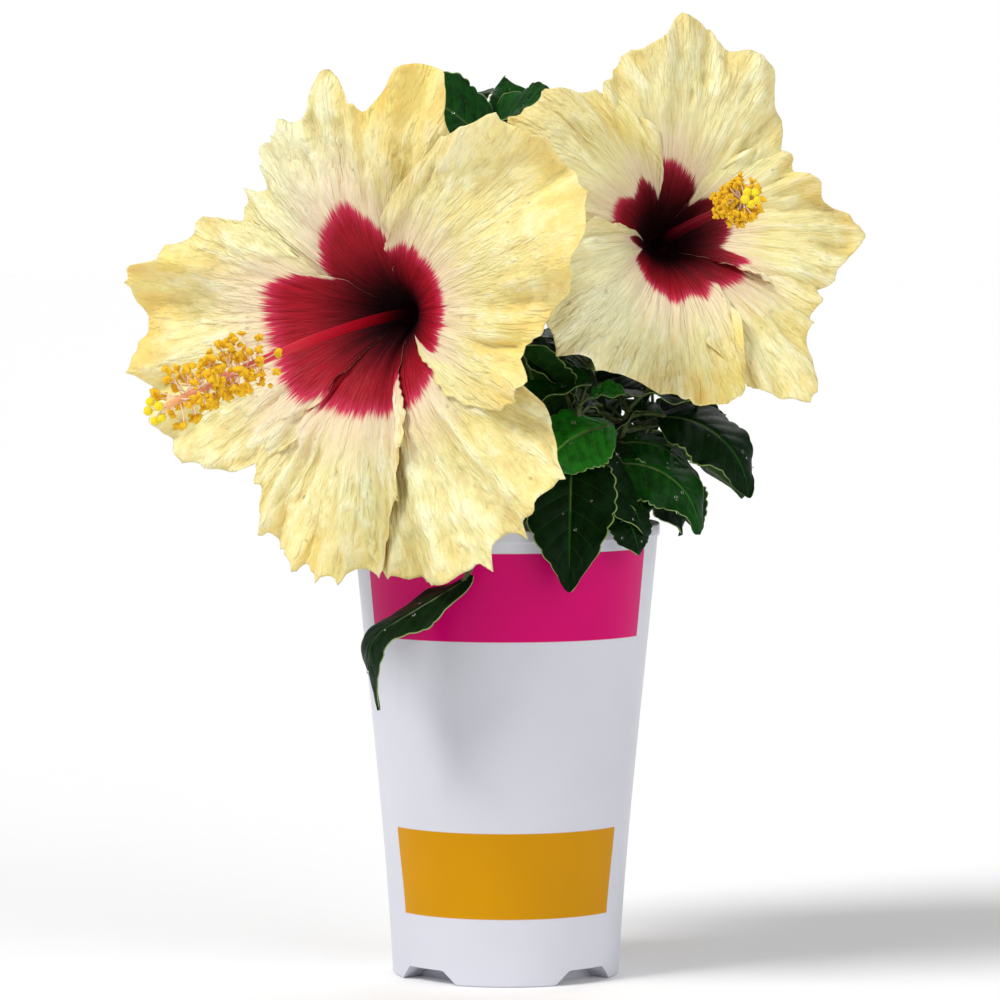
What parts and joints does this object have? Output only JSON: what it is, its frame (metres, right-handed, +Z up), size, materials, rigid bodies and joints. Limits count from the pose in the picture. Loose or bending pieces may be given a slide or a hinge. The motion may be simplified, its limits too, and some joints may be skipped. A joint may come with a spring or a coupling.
{
  "type": "potted hibiscus shrub",
  "caption": "Small potted hibiscus shrub with large pale yellow blooms, glossy toothed leaves and a tall round tapered nursery pot.",
  "frame": {"origin": "centre of the flat underside of the pot", "axes": "+Z up along the pot's axis, -Y towards the side that the picture shows"},
  "size_m": [0.2781, 0.2368, 0.3645],
  "materials": {
    "pot": "smooth white injection-moulded plastic with a printed magenta band and a printed ochre band",
    "potting_mix": "moist peat-based potting mix, dark brown and crumbly",
    "bark": "thin grey-brown bark with small pale pores",
    "young_bark": "greenish brown young bark",
    "leaf": "glossy dark green leaf with paler veins and a thin pale edge",
    "petal": "thin crinkled petal, pale cream yellow with a crimson eye and a near-black throat",
    "column": "smooth red column with orange-yellow anthers and yellow stigma pads",
    "calyx": "matte mid green"
  },
  "bodies": {
    "root": {"pot": "pot", "potting_mix": "potting_mix", "trunk": "bark", "bough_left_bloom": "young_bark", "bough_right_bloom": "young_bark", "bough_front": "young_bark", "bough_right": "young_bark", "bough_back_right": "young_bark", "bough_back_left": "young_bark", "bough_left": "young_bark", "bough_top_right": "young_bark", "left_bloom_petals": "petal", "left_bloom_column": "column", "left_bloom_calyx": "calyx", "right_bloom_petals": "petal", "right_bloom_column": "column", "right_bloom_calyx": "calyx", "leaves_front": "leaf", "leaves_right": "leaf", "leaves_back_right": "leaf", "leaves_back_left": "leaf", "leaves_left": "leaf", "leaves_top_left": "leaf", "leaves_top_right": "leaf"}
  },
  "joints": []
}
